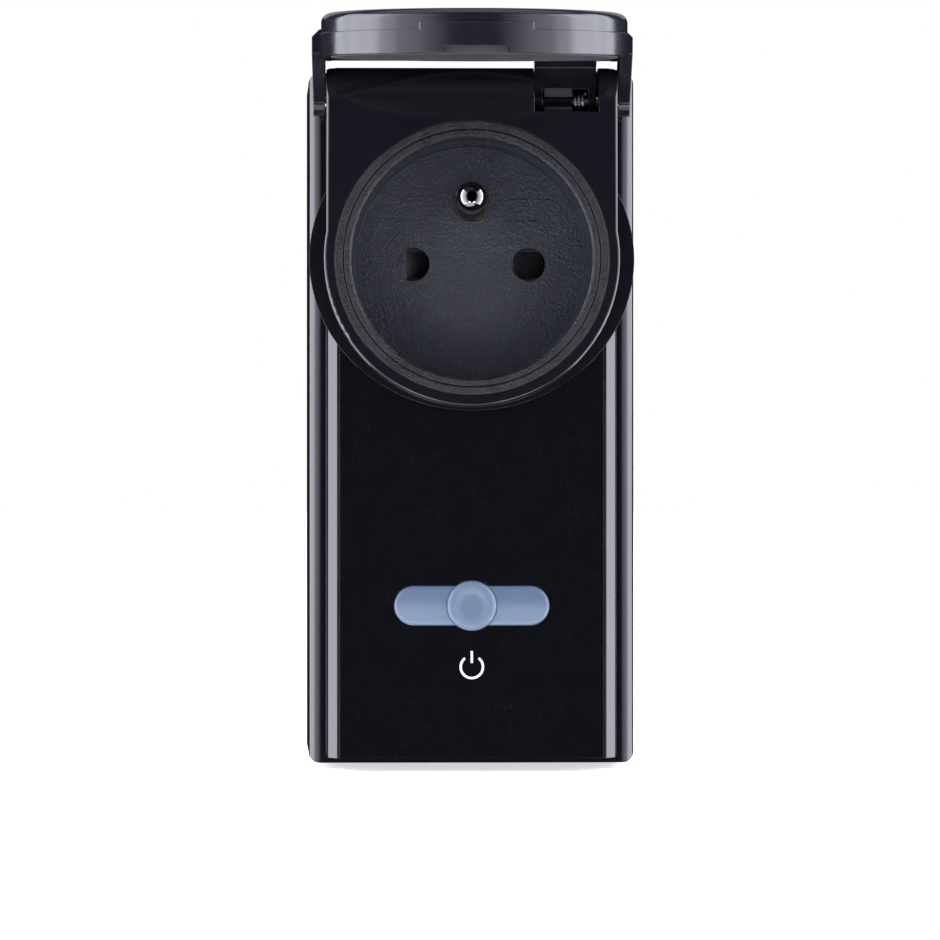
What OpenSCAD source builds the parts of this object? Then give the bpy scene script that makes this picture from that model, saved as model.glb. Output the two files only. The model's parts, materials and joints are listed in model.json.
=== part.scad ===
// Splash-proof plug-in switch: a long casing with a plug on its back, and a socket
// under a spring-hinged lid on its front.
// Every piece is drawn lying on its back, with x across the body, y up the body and z
// out from the wall plug's face, and stand() turns it upright.

/* [Body] */
// Width of the casing at the joint between its covers
body_w = 54.5; // [53.4:0.1:56]
// Width of the casing at its front
front_w = 52.9; // [52:0.1:53]
// Height of the casing's top edge above the socket's centre
body_top = 30.6; // [30:0.1:33]
// Distance of the casing's bottom edge below the socket's centre
body_bottom = 81.1; // [78:0.1:90]
// Height of the casing's back above the wall plug's face
rear_h = 17; // [16:0.1:18]
// Height of the joint between the two covers
split_h = 26; // [25:0.1:27]
// Height of the shoulders beside the front panel
shoulder_h = 43.5; // [43:0.1:44]
// Height of the front panel's face
panel_h = 49.8; // [49:0.1:50.2]
// Height of the socket collar's face
face_h = 53; // [52.5:0.1:53.5]
// Thickness of the covers' walls
wall = 2; // [1.8:0.1:2.2]
// Radius of the long rounded edges at the front
edge_r = 2.4; // [1.5:0.1:2.8]
// Radius of the casing's corners seen from the front
corner_r = 1.8; // [1:0.1:3]

/* [Socket] */
// Distance between the two live holes, and between the plug's pins
pin_pitch = 19; // [19:0.1:19.2]
// Distance of the earth pin above the line of the live holes
earth_up = 10; // [10:0.1:10.2]
// Depth of the socket's recess
recess_deep = 15; // [14.8:0.1:15.2]
// Radius of the recess at its floor
recess_r = 19; // [18.5:0.1:19]
// Radius of the live holes
hole_r = 2.75; // [2.6:0.05:2.9]
// Radius of the pins
pin_r = 2.4; // [2.35:0.05:2.45]
// Length of the plug's pins
pin_len = 19; // [18.5:0.5:19.5]
// Radius of the collar's face
collar_r = 23.6; // [23.5:0.1:23.8]

/* [Lid] */
// Angle that the lid stands open
lid_open = 84; // [60:1:88]
// Thickness of the lid
lid_t = 6.5; // [6.3:0.1:7]
// Height of the hinge's axis
hinge_h = 46.6; // [46.4:0.1:46.8]
// Distance of the hinge's axis above the socket's centre
hinge_up = 25.4; // [25.2:0.1:25.6]

/* [Light and button] */
// Distance of the button below the socket's centre
button_down = 55.4; // [52:0.1:58]
// Length of the light bar
bar_len = 24.9; // [22:0.1:28]
// Width of the light bar
bar_w = 6.4; // [5.5:0.1:7]
// Radius of the button
button_r = 4; // [3.8:0.1:4.3]

/* [Hidden] */
$fn = 64;
eps = 0.01;
fit_gap = 0.1;      // between pieces that are pushed together
run_gap = 0.05;     // round a pin that turns
half_w = body_w / 2;
front_half = front_w / 2;
lean = half_w - front_half;     // the walls lean in this much towards the front
edge_h = shoulder_h - edge_r;
back_lean = 0.3;    // what is left of it at the casing's back
back_edge = 1;      // chamfer round the back
parting = 0.4;      // groove at the joint between the covers
half_pitch = pin_pitch / 2;
body_low = -body_bottom;

// Raised centre of the front: steep sides, then a sloping band beside the panel
island_foot = 23.45;
island_side = 23;
island_top = 21.55;
slope_h = panel_h - 1.25;
seat_half = 21.35;
groove_w = 0.2;
panel_half = seat_half - groove_w;
panel_t = 1.6;
panel_end = 1.3;    // from the casing's bottom edge to the panel and the raised centre
end_wall = 1.2;     // thickness of the raised centre's bottom end
inner_top = panel_h - 2 * panel_t;
island_in = 19;     // half-width of the hollow inside the raised centre
island_end = -27;   // where that hollow stops, below the collar

// Socket collar: a round wall on a wider oval foot
foot_x = 26;
foot_y = 24.2;
foot_h = panel_h + 0.3;
foot_sides = 96;
block_half = 23.2;
block_top = 30.2;
face_edge = 0.5;
rim_r = 21.75;
rim_deep = 7;
mouth_r = 19.5;
ring_r = 20.35;     // outside of the raised ring round the recess
ring_gap = 0.25;    // width and depth of the groove round that ring
cup_r = 20.9;
floor_h = face_h - recess_deep;
floor_t = 1.6;

// Notch for the spring hinge
notch_x0 = 9.9;
notch_x1 = 20.2;
notch_y = 23.3;
notch_h = 43.7;
fork_x0 = 10.1;
fork_x1 = 20.0;
fork_t = 1.3;
knuckle_r = 1.75;
knuckle_x1 = 16.2;
hinge_r = 1.0;

// Lid, drawn shut
lid_gap = 0.25;
rim_h = face_h + lid_gap;
lid_h = rim_h + lid_t;
lid_end = hinge_up - 1.5;
lid_wall = 1.7;
lid_roof = 2.7;
lid_edge = 1.5;
band_t = 3.4;
band_out = 0.25;
ear_x0 = 23.5;
ear_x1 = 25.4;
ear_top = 58;
ear_r = 2.2;
ear_gap = 0.5;
grip_half = 8.3;    // raised finger grip at the lid's tip
grip_rise = 1;
thumb_half = 5;     // notch in the rim below the grip
thumb_deep = 0.95;

// Wall plug
puck_r = 18.3;
puck_wall = 1.8;
puck_face = 2;
shank_r = 2.9;
earth_shank_r = 3;  // of the socket's earth pin, in the recess's floor
earth_hole_r = 2.5;
clip_w = 4.4;
strap_h = 14;
strap_t = 0.8;

// Shutter
shutter_h0 = 33.4;
shutter_h1 = floor_h - floor_t - 0.2;
shutter_half = 3.3;
shutter_slide = 5.3;
window_w = 5.8;     // of each of the shutter's two windows
housing_h0 = 22;
housing_h1 = 33.2;
contact_h = 17.6;

// Button and light bar
bar_h = panel_h + 0.35;
button_h = panel_h + 0.8;
flange_h = inner_top - 1.2;
around_button = button_r + 0.12;
plunger_top = 43.9;

// Circuit boards
main_h = 21;
main_t = 1.6;
main_top = main_h + main_t;
main_low = -78;
main_high = -27;
logic_h = 38.6;
logic_t = 1;
logic_top = logic_h + logic_t;
logic_low = -76;
logic_high = -29;

relay_x = [-20.5, -8];
relay_y = [-62, -34];
relay_top = 36.8;
relay_mid = (relay_x[0] + relay_x[1]) / 2;
core_end = -44;     // end of the relay coil's iron core
part_gap = 0.05;    // between a part and the board that it stands on

screw_x = 21.4;
screw_ys = [26, -76.3];
post_x = 14;
post_ys = [-36, -72];
main_post = [19.5, -30];

// ---- Shapes used by several pieces ----

module stand() rotate([90, 0, 0]) children();

// A block given by its ranges in x, y and z
module box(x, y, z)
    translate([x[0], y[0], z[0]]) cube([x[1] - x[0], y[1] - y[0], z[1] - z[0]]);

// A round post on the point (x, y), from one height to another
module post(x, y, r, z0, z1) translate([x, y, z0]) cylinder(r = r, h = z1 - z0);

// A rod along x
module rod(x0, x1, y, z, r)
    translate([x0, y, z]) rotate([0, 90, 0]) cylinder(r = r, h = x1 - x0);

// An outline drawn from above, raised from one height to another
module raised(z0, z1) translate([0, 0, z0]) linear_extrude(z1 - z0) children();

// An outline in (x, z) drawn out along y
module along_y(y0, y1)
    translate([0, y1, 0]) rotate([90, 0, 0]) linear_extrude(y1 - y0) children();

// An outline in (y, z) drawn out along x
module along_x(x0, x1)
    translate([x0, 0, 0]) rotate([90, 0, 90]) linear_extrude(x1 - x0) children();

// A rectangle with true round corners
module round_rect(x0, x1, y0, y1, r) {
    translate([x0 + r, y0]) square([x1 - x0 - 2 * r, y1 - y0]);
    translate([x0, y0 + r]) square([x1 - x0, y1 - y0 - 2 * r]);
    for (x = [x0 + r, x1 - r], y = [y0 + r, y1 - r]) translate([x, y]) circle(r);
}

// A bar outline with full round ends
module bar_outline(length, width)
    round_rect(-length / 2, length / 2, -width / 2, width / 2, width / 2 - eps);

// The outline of the casing's front, drawn in by a distance
module casing_outline(inset, r = corner_r)
    round_rect(-front_half + inset, front_half - inset,
        body_low + inset, body_top - inset, r);

// A block on that outline, grown by one distance at z0 and by another at z1
module leaning_block(z0, z1, grow0, grow1) {
    for (x = [-front_half + corner_r, front_half - corner_r],
        y = [body_low + corner_r, body_top - corner_r]) translate([x, y, z0])
        cylinder(r1 = corner_r + grow0, r2 = corner_r + grow1, h = z1 - z0);
    along_y(body_low + corner_r, body_top - corner_r)
        polygon([[-front_half - grow0, z0], [front_half + grow0, z0],
            [front_half + grow1, z1], [-front_half - grow1, z1]]);
    along_x(-front_half + corner_r, front_half - corner_r)
        polygon([[body_low - grow0, z0], [body_top + grow0, z0],
            [body_top + grow1, z1], [body_low - grow1, z1]]);
}

// The outline of the collar's oval foot, with a gap round it
module oval(gap) polygon([for (k = [0:foot_sides - 1]) let (a = 360 * k / foot_sides)
    [(foot_x + gap) * cos(a), (foot_y + gap) * sin(a)]]);

// A tube along a list of points: rings of a few sides, each turned from the last
function unit(v) = v / norm(v);
function heading(p, i) = unit(p[min(i + 1, len(p) - 1)] - p[max(i - 1, 0)]);
function across(n, t) = unit(n - (n * t) * t);
function frames(p, first) =
    [for (i = 0, n = across(first, heading(p, 0)); i < len(p);
        i = i + 1, n = i < len(p) ? across(n, heading(p, i)) : n) n];
function rings(p, r, first, sides) =
    let (ns = frames(p, first))
    [for (i = [0:len(p) - 1]) let (t = heading(p, i), n = ns[i], b = cross(t, n))
        for (k = [0:sides - 1]) let (a = 360 * k / sides)
            p[i] + r * (cos(a) * n + sin(a) * b)];
module tube(p, r, first = [0, 0, 1], sides = 8) {
    last = len(p) - 1;
    walls = [for (i = [0:last - 1], k = [0:sides - 1])
        let (a = i * sides + k, b = i * sides + (k + 1) % sides)
        each [[a, a + sides, b], [b, a + sides, b + sides]]];
    polyhedron(rings(p, r, first, sides),
        concat(walls, [[for (k = [0:sides - 1]) k]],
            [[for (k = [sides - 1:-1:0]) last * sides + k]]));
}

// A smooth curve through a few corner points
function bend(a, b, c, d, t) = 0.5 * (2 * b + (c - a) * t
    + (2 * a - 5 * b + 4 * c - d) * t * t + (3 * b - a - 3 * c + d) * t * t * t);
function curve(p, steps = 5) = concat(
    [for (i = [0:len(p) - 2], k = [0:steps - 1])
        bend(p[max(i - 1, 0)], p[i], p[i + 1], p[min(i + 2, len(p) - 1)], k / steps)],
    [p[len(p) - 1]]);

// A coil along x
function coil(x0, x1, y, z, r, turns, steps = 14) =
    [for (i = [0:turns * steps]) let (a = 360 * i / steps)
        [x0 + (x1 - x0) * i / (turns * steps), y + r * cos(a), z + r * sin(a)]];

// ---- Casing ----

// Cross-section of the front: long rounded edges, shoulders and the raised centre
module front_section() {
    translate([-half_w - 1, split_h]) square([body_w + 2, edge_h - split_h]);
    translate([-front_half + edge_r, split_h])
        square([front_w - 2 * edge_r, shoulder_h - split_h]);
    for (x = [-front_half + edge_r, front_half - edge_r])
        translate([x, edge_h]) circle(edge_r);
    for (side = [-1, 1]) scale([side, 1])
        polygon([[-eps, split_h], [island_foot, split_h], [island_foot, shoulder_h],
            [island_side, slope_h], [island_top, panel_h], [-eps, panel_h]]);
}

// The socket's collar on its oval foot, with the slightly rounded edge of its face
module collar() {
    raised(edge_h, foot_h) oval(0);
    rotate_extrude() {
        translate([0, shoulder_h]) square([collar_r - face_edge, face_h - shoulder_h]);
        translate([0, shoulder_h]) square([collar_r, face_h - face_edge - shoulder_h]);
        translate([collar_r - face_edge, face_h - face_edge]) circle(face_edge);
    }
}

// Side view of the hinge block: its top front edge is round about the hinge's axis
module block_side() {
    swing_r = face_h - hinge_h;
    translate([0, shoulder_h - 1]) square([hinge_up, face_h - shoulder_h + 1]);
    translate([0, shoulder_h - 1]) square([block_top, hinge_h - shoulder_h + 1]);
    intersection() {
        translate([hinge_up, hinge_h]) circle(swing_r);
        translate([0, hinge_h - 2]) square([block_top, swing_r + 4]);
    }
}

module hinge_block() intersection() {
    along_x(-block_half, block_half) block_side();
    along_y(0, block_top)
        round_rect(-block_half, block_half, shoulder_h - 2, face_h, face_edge);
}

module front_outside() {
    difference() {
        intersection() {
            along_y(body_low - lean - 1, body_top + lean + 1) front_section();
            union() {
                leaning_block(split_h, edge_h, lean, 0);
                raised(edge_h - eps, face_h) casing_outline(0);
            }
        }
        // seat of the front panel, with a groove at its sides, open at the bottom end
        box([-seat_half, seat_half], [body_low, 5], [panel_h - panel_t, face_h]);
        // the raised centre stops short of the casing's bottom end
        box([-half_w, half_w], [body_low - 1, body_low + panel_end],
            [shoulder_h, face_h]);
        // room for the lid's ears at the sides of the hinge block
        for (x = [-half_w, block_half]) box([x, x + half_w - block_half],
            [hinge_up - ear_r - ear_gap, body_top + 1], [shoulder_h, face_h]);
    }
    collar();
    hinge_block();
}

// Hollow of the front cover, round its screw posts
module front_hollow() difference() {
    union() {
        raised(split_h - 1, shoulder_h - wall) casing_outline(wall, 1);
        box([-island_in, island_in], [body_low + panel_end + end_wall, island_end],
            [split_h, inner_top]);
    }
    for (x = [-screw_x, screw_x], y = screw_ys)
        post(x, y, 3.2, split_h + 2.2, face_h);
    for (x = [-post_x, post_x], y = post_ys) post(x, y, 2.4, logic_top, face_h);
}

// Space cut out for the spring hinge, round the knuckle that holds its pin
module hinge_notch() difference() {
    box([notch_x0, notch_x1], [notch_y, block_top + 1], [notch_h, face_h + 1]);
    along_x(fork_x0 + fork_t + fit_gap, knuckle_x1) {
        translate([hinge_up, hinge_h]) circle(knuckle_r);
        translate([hinge_up - knuckle_r, notch_h - 1])
            square([2 * knuckle_r, hinge_h - notch_h + 1]);
    }
}

// Outline of the light bar and its button, with a gap all round
module light_outline(gap) translate([0, -button_down]) {
    bar_outline(bar_len + 2 * gap, bar_w + 2 * gap);
    circle(around_button + gap);
}

module front_cover() color("#15161b") stand() difference() {
    front_outside();
    front_hollow();
    // the socket drops into the collar and rests on a ledge
    post(0, 0, rim_r + fit_gap, face_h - rim_deep, face_h + 1);
    post(0, 0, cup_r + fit_gap, split_h, face_h);
    // rebate for the rear cover's tongue and the seal
    difference() {
        raised(split_h - 1, split_h + 2.6) casing_outline(0.9, 1.2);
        raised(split_h - 2, split_h + 3) casing_outline(wall + eps, 1);
    }
    hinge_notch();
    rod(-block_half - 1, block_half + 1, hinge_up, hinge_h, hinge_r);
    for (x = [-screw_x, screw_x], y = screw_ys)
        post(x, y, 1.25, split_h, shoulder_h - 3.5);
    for (x = [-post_x, post_x], y = post_ys) post(x, y, 0.9, logic_top - 1, inner_top - 1);
    raised(inner_top - 1, face_h) light_outline(0.03);
}

module front_panel() color("#0c0d11") stand() difference() {
    box([-panel_half, panel_half], [body_low + panel_end, 0],
        [panel_h - panel_t, panel_h]);
    raised(shoulder_h, face_h) oval(0.1);
    raised(shoulder_h, face_h) light_outline(0.03);
}

module rear_cover() color("#17181d") stand() difference() {
    union() {
        leaning_block(rear_h, rear_h + back_edge, back_lean - back_edge, back_lean);
        leaning_block(rear_h + back_edge, split_h - parting, back_lean, lean);
        raised(split_h - parting - eps, split_h)
            casing_outline(parting - lean, corner_r + lean - parting);
        // tongue that enters the front cover
        raised(split_h - eps, split_h + 1.6) casing_outline(1, 1.1);
        // the plug's round body, with a rounded front edge
        rotate_extrude() {
            square([puck_r - 1, rear_h + 1]);
            translate([0, 1]) square([puck_r, rear_h]);
            translate([puck_r - 1, 1]) circle(1);
        }
    }
    // inside, round the screw posts and the board's posts
    difference() {
        raised(rear_h + wall, split_h + 3) casing_outline(wall, 1);
        for (x = [-screw_x, screw_x], y = screw_ys) post(x, y, 4, rear_h, split_h + 2);
        for (side = [-1, 1]) post(side * main_post[0], main_post[1], 2.4, rear_h, main_h);
    }
    for (side = [-1, 1])
        post(side * main_post[0], main_post[1], 0.9, rear_h + wall - 1, main_h + 1);
    post(0, 0, puck_r - puck_wall, puck_face, split_h);
    // screw holes with deep counterbores
    for (x = [-screw_x, screw_x], y = screw_ys) {
        post(x, y, 1.6, rear_h - 1, split_h + 3);
        post(x, y, 2.8, rear_h - 1, split_h - 3.4);
    }
    // holes for the pins and for the wall socket's own earth pin
    for (x = [-half_pitch, half_pitch]) post(x, 0, shank_r + 0.02, -1, puck_face + 1);
    post(0, earth_up, earth_hole_r + 0.05, -1, puck_face + 1);
    for (side = [-1, 1]) {
        // window of a side earth clip
        box([-clip_w / 2 - 0.3, clip_w / 2 + 0.3],
            [min(side * 15, side * 19), max(side * 15, side * 19)], [3.5, 15]);
        // guide groove
        box([min(side * 17.2, side * 19), max(side * 17.2, side * 19)],
            [-2.7, 2.7], [-1, rear_h]);
    }
}

module casing_seal() color("#3c3e44") stand() difference() {
    raised(split_h + 1.7, split_h + 2.5) casing_outline(1, 1.1);
    raised(split_h, split_h + 4) casing_outline(wall - 0.1, 1);
}

module case_screws() color("#a9adb2") stand()
    for (x = [-screw_x, screw_x], y = screw_ys) difference() {
        head_h = split_h - 5.4;
        union() {
            post(x, y, 1.2, head_h + 1.8, split_h + 9);
            post(x, y, 2.6, head_h, head_h + 1.95);
        }
        for (turn = [0, 90]) translate([x, y, head_h]) rotate([0, 0, turn])
            cube([3, 0.7, 2.2], center = true);
    }

// ---- Socket ----

module socket_insert() color("#2c2f38") stand() difference() {
    union() {
        post(0, 0, cup_r, housing_h1 + 0.3, face_h);
        post(0, 0, rim_r, face_h - rim_deep, face_h);
    }
    rotate_extrude() {
        polygon([[0, floor_h], [recess_r, floor_h], [recess_r + 0.15, face_h - 0.4],
            [mouth_r, face_h], [mouth_r, face_h + 1], [0, face_h + 1]]);
        translate([ring_r, face_h - 2 * ring_gap]) square([ring_gap, 1]);
    }
    // room for the shutter under the floor
    post(0, 0, cup_r - 1.4, housing_h1, floor_h - floor_t);
    for (x = [-half_pitch, half_pitch]) post(x, 0, hole_r, floor_h - 3, face_h);
    post(0, earth_up, earth_shank_r + 0.03, floor_h - 3, face_h);
}

// Earth pin: domed contact, collar in the floor, flange behind it and a long shank
module earth_pin() color("#c9ccd0") stand() {
    dome = pin_r - 0.5;
    pin_top = face_h - 1;
    translate([0, earth_up, 0]) rotate_extrude() {
        translate([0, strap_h + strap_t + 0.02]) square([1.6, 20]);
        translate([0, floor_h - floor_t - 2]) square([earth_shank_r + 1.2, 1.9]);
        translate([0, floor_h - floor_t - 1]) square([earth_shank_r, floor_t + 1]);
        translate([0, floor_h - 1]) square([pin_r, pin_top - dome - floor_h + 1]);
        translate([0, pin_top - 3]) square([pin_r - dome, 3]);
        intersection() {
            translate([pin_r - dome, pin_top - dome]) circle(dome);
            square([pin_r, face_h]);
        }
    }
}

module contact_housing() color("#d8d4c6") stand() difference() {
    union() {
        post(0, 0, 19.2, housing_h0, housing_h1);
        // cup that the shutter's spring pushes against
        box([-10.4, -9], [-7.4, -4.2], [housing_h1 - eps, shutter_h1 - 0.2]);
    }
    for (x = [-half_pitch, half_pitch])
        box([x - 3.4, x + 3.4], [-4.1, 4.1], [housing_h0 - 1, housing_h1 + 1]);
    post(0, earth_up, 1.75, housing_h0 - 1, housing_h1 + 1);
    post(0, -12, 4, housing_h0 - 1, housing_h1 - 2);
}

// Two leaves that grip a plug's pin, joined behind it
module pin_contact(x) translate([x, 0, 0]) along_x(-2.6, 2.6)
    for (side = [-1, 1]) scale([side, 1]) polygon([[-0.1, contact_h], [3.6, contact_h],
        [3.65, contact_h + 2], [3.05, 27], [3.75, 32.6], [3.15, 32.6], [2.45, 27],
        [3.05, contact_h + 2], [3, contact_h + 0.6], [-0.1, contact_h + 0.6]]);

module live_contact() color("#c28a4a") stand() pin_contact(-half_pitch);
module neutral_contact() color("#c28a4a") stand() pin_contact(half_pitch);

module contact_springs() color("#9a9ea3") stand()
    for (x = [-half_pitch, half_pitch]) difference() {
        box([x - 3.2, x + 3.2], [-3.75, 3.75], [26, 28]);
        box([x - 2.75, x + 2.75], [-3.35, 3.35], [25, 29]);
    }

// Slide with two windows: each pin pushes a ramp aside until its window lies open
module shutter() color("#4a4e58") stand() difference() {
    first = -half_pitch - hole_r - 0.2 + shutter_slide;
    union() {
        box([-13.4, first + pin_pitch + window_w + 1.2], [-shutter_half, shutter_half],
            [shutter_h0, shutter_h1]);
        // arm that the spring pushes
        box([5.6, 7.2], [-7.2, 0], [shutter_h0, shutter_h1]);
    }
    for (x = [first, first + pin_pitch]) {
        box([x, x + window_w], [-2.85, 2.85], [shutter_h0 - 1, shutter_h1 + 1]);
        // ramp that leads down into the window
        translate([x - 4.2, 0, shutter_h1]) rotate([0, 30, 0])
            box([0, 8], [-2.2, 2.2], [0, 5]);
    }
}

module shutter_spring() color("#b9bcc1") stand()
    tube(coil(-8.9, 5.5, -5.8, (shutter_h0 + shutter_h1) / 2, 0.95, 9, 10), 0.18,
        [0, 1, 0], 6);

// ---- Lid, drawn shut and then turned open ----

module opened() translate([0, hinge_up, hinge_h]) rotate([-lid_open, 0, 0])
    translate([0, -hinge_up, -hinge_h]) children();

module lid_outline(r) {
    circle(r);
    translate([-r, 0]) square([2 * r, lid_end]);
}

// Half of the lid's cross-section, with its rounded top edge
module lid_section(r) {
    translate([0, rim_h]) square([r, lid_t - lid_edge]);
    translate([0, rim_h]) square([r - lid_edge, lid_t]);
    translate([r - lid_edge, lid_h - lid_edge]) circle(lid_edge);
}

module lid_outside() {
    top_r = collar_r - band_out;
    rotate_extrude() lid_section(top_r);
    intersection() {
        along_y(0, lid_end) for (side = [0, 1]) mirror([side, 0]) lid_section(top_r);
        along_x(-top_r, top_r)
            round_rect(-lid_edge - 1, lid_end, rim_h - lid_edge, lid_h, lid_edge);
    }
    // skirt round the rim, higher at the finger grip
    raised(rim_h, rim_h + band_t) lid_outline(collar_r);
    intersection() {
        post(0, 0, collar_r, rim_h, rim_h + band_t + grip_rise);
        box([-grip_half, grip_half], [-collar_r, 0], [rim_h, lid_h]);
    }
}

module ear_side() {
    translate([hinge_up, hinge_h]) circle(ear_r);
    polygon([[hinge_up - ear_r, hinge_h], [hinge_up + ear_r, hinge_h],
        [hinge_up + ear_r - 0.4, rim_h - 1], [lid_end, rim_h + 3], [lid_end, ear_top],
        [lid_end - 6.5, ear_top], [lid_end - 6.5, rim_h + 1]]);
}

module ear() intersection() {
    along_x(ear_x0 - 1, ear_x1) ear_side();
    along_y(lid_end - 8, hinge_up + 4) polygon([[ear_x0, hinge_h - 4],
        [ear_x1, hinge_h - 4], [ear_x1, ear_top - 1.2], [ear_x1 - 1.2, ear_top],
        [ear_x0 - 1, ear_top], [ear_x0 - 1, rim_h], [ear_x0, rim_h]]);
}

// Fork of the spring hinge: two arms on the pin and the plate that joins the lid
module fork() {
    for (x = [fork_x0, fork_x1 - fork_t]) along_x(x, x + fork_t) {
        translate([hinge_up, hinge_h]) circle(2);
        translate([hinge_up - 1.2, hinge_h]) square([2.3, 4]);
    }
    along_x(fork_x0, fork_x1) polygon([[hinge_up - 1.2, hinge_h + 2.2],
        [hinge_up + 1.1, hinge_h + 2.2], [hinge_up + 1.1, lid_h - 3],
        [lid_end - 1, lid_h - 1.5], [lid_end - 1, rim_h + 0.6], [hinge_up - 1.2, rim_h - 1]]);
}

module lid() color("#101116") stand() opened() difference() {
    union() {
        difference() {
            lid_outside();
            difference() {
                raised(rim_h - 1, lid_h - lid_roof) lid_outline(collar_r - lid_wall);
                box([-collar_r, collar_r], [lid_end - lid_wall, lid_end + 1],
                    [rim_h - 2, lid_h]);
            }
            box([-thumb_half, thumb_half], [-collar_r - 1, -collar_r + 2.5],
                [rim_h - 1, rim_h + thumb_deep]);
        }
        ear();
        mirror([1, 0, 0]) ear();
        fork();
    }
    rod(-ear_x1 - 1, ear_x1 + 1, hinge_up, hinge_h, hinge_r + run_gap);
}

// Soft ring inside the lid that closes on the socket's rim
module lid_seal() color("#24262c") stand() opened() difference() {
    post(0, 0, collar_r - lid_wall - 0.05, face_h + 0.12, lid_h - lid_roof - 0.02);
    post(0, 0, 20.7, face_h, lid_h);
}

module hinge_pin() color("#c4c7cb") stand()
    rod(-ear_x1 + 0.3, ear_x1 - 0.3, hinge_up, hinge_h, hinge_r);

module lid_spring() color("#c4c7cb") stand()
    tube(coil(knuckle_x1 + 0.35, fork_x1 - fork_t - 0.35, hinge_up, hinge_h, 1.42, 3, 16),
        0.27, [0, 1, 0], 8);

// ---- Light bar and button ----

module light_bar() color("#8fa3c4") stand() difference() {
    translate([0, -button_down, 0]) union() {
        raised(flange_h, bar_h) bar_outline(bar_len, bar_w);
        raised(flange_h, inner_top - 0.1) bar_outline(bar_len + 3, 11);
    }
    post(0, -button_down, around_button, flange_h - 1, face_h);
}

module button() color("#7f93b4") stand() translate([0, -button_down, 0]) {
    difference() {
        rotate_extrude() {
            square([button_r - 0.5, button_h]);
            square([button_r, button_h - 0.5]);
            translate([button_r - 0.5, button_h - 0.5]) circle(0.5);
        }
        // shallow dish for the fingertip
        translate([0, 0, button_h + 5.2]) sphere(5.55);
        translate([0, 0, -1]) cylinder(r = button_r + 1, h = flange_h - 0.2);
    }
    post(0, 0, button_r + 0.8, flange_h - 1, flange_h - 0.2);
    post(0, 0, 1.4, plunger_top + 0.02, flange_h - 0.5);
}

module button_seal() color("#b9bcc4") stand() difference() {
    post(0, -button_down, 7.5, flange_h - 0.9, flange_h - 0.05);
    post(0, -button_down, 5.1, flange_h - 2, flange_h + 1);
}

module switch_body() color("#1b1c20") stand() difference() {
    top = plunger_top - 1;
    translate([0, -button_down, 0]) box([-3, 3], [-3, 3], [logic_top + part_gap, top]);
    post(0, -button_down, 1.8, top - 1.4, top + 1);
}

module switch_plunger() color("#a0a4ab") stand()
    post(0, -button_down, 1.7, plunger_top - 1.7, plunger_top);

// ---- Electronics ----

module control_board() color("#1f5c3a") stand() difference() {
    box([-17.5, 17.5], [logic_low, logic_high], [logic_h, logic_top - 0.03]);
    for (x = [-post_x, post_x], y = post_ys) post(x, y, 1, logic_h - 1, logic_top + 1);
}

module leds() color("#f2f0e2") stand()
    for (x = [-8, 8]) translate([x, -button_down, 0]) {
        box([-1.6, 1.6], [-1.5, 1.5], [logic_top + part_gap, logic_top + 1.3]);
        post(0, 0, 1, logic_top + 1, logic_top + 1.8);
    }

module radio_module() color("#b4b7bb") stand() {
    box([-11, 3], [-74, -63.5], [logic_h - 0.9, logic_h - part_gap]);
    box([-10.3, -1], [-73.3, -64.2], [logic_h - 2.6, logic_h - 0.8]);
}

module antenna() color("#c28a4a") stand()
    tube(coil(-9, 9, -32, logic_top + 2.15, 1.7, 8, 10), 0.3, [0, 1, 0], 6);

module board_header() color("#202126") stand() {
    box([10, 18], [-43.6, -41.2], [main_top + part_gap, 27]);
    for (x = [11 : 2 : 17]) post(x, -42.4, 0.4, 26, logic_h - part_gap);
}

module power_board() color("#245f3e") stand() difference() {
    union() {
        box([-22.5, 22.5], [-71, main_high], [main_h + part_gap, main_top]);
        box([-16.5, 16.5], [main_low, -70], [main_h + part_gap, main_top]);
    }
    for (side = [-1, 1]) post(side * main_post[0], main_post[1], 1, main_h - 1, face_h);
}

module relay_base() color("#2a4a86") stand()
    box(relay_x, relay_y, [main_top + part_gap, main_top + 1.8]);

module relay_case() color("#3260b4") stand() difference() {
    box(relay_x, relay_y, [main_top + 1.85, relay_top]);
    box([relay_x[0] + 0.7, relay_x[1] - 0.7], [relay_y[0] + 0.7, relay_y[1] - 0.7],
        [main_top, relay_top - 0.7]);
}

module relay_coil() color("#9c5a2c") stand() {
    along_y(core_end - 15, core_end - 0.7) translate([relay_mid, 29.5]) circle(4.1);
    along_y(core_end - 16.5, core_end) translate([relay_mid, 29.5]) circle(1.5);
    box([relay_mid - 3, relay_mid + 3], [core_end - 16.5, core_end - 15],
        [main_top + 1.9, 33]);
}

// Plate that tilts on its rounded lower edge, with a finger for the contacts
module relay_armature() color("#8d9197") stand() {
    rod(relay_mid - 4, relay_mid + 4, core_end + 0.9, 25.3, 0.4);
    box([relay_mid - 4, relay_mid + 4], [core_end + 0.5, core_end + 1.3], [25.3, 34]);
    box([relay_mid - 1, relay_mid + 1], [core_end + 1.25, core_end + 3.5], [33, 33.6]);
}

module film_capacitor() color("#d2b53c") stand()
    box([-4, 5], [-62, -44.5], [main_top + part_gap, 35.5]);

module storage_capacitor() color("#20242c") stand() difference() {
    post(11, -69.8, 4, main_top + part_gap, 33);
    post(11, -69.8, 3.3, 32.7, 34);
}

// Ferrite core with two windows, and the winding on its middle leg
module transformer_core() color("#3a3a3e") stand() difference() {
    box([8, 21], [-58, -52], [main_top + 0.4, 34]);
    for (x = [10, 15.9]) box([x, x + 3.1], [-59, -51], [25.2, 31.8]);
}
module transformer_winding() color("#c9a23a") stand() difference() {
    box([10.1, 18.9], [-61, -49], [25.3, 31.7]);
    box([13.05, 15.95], [-58.1, -51.9], [25, 32]);
}

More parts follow.
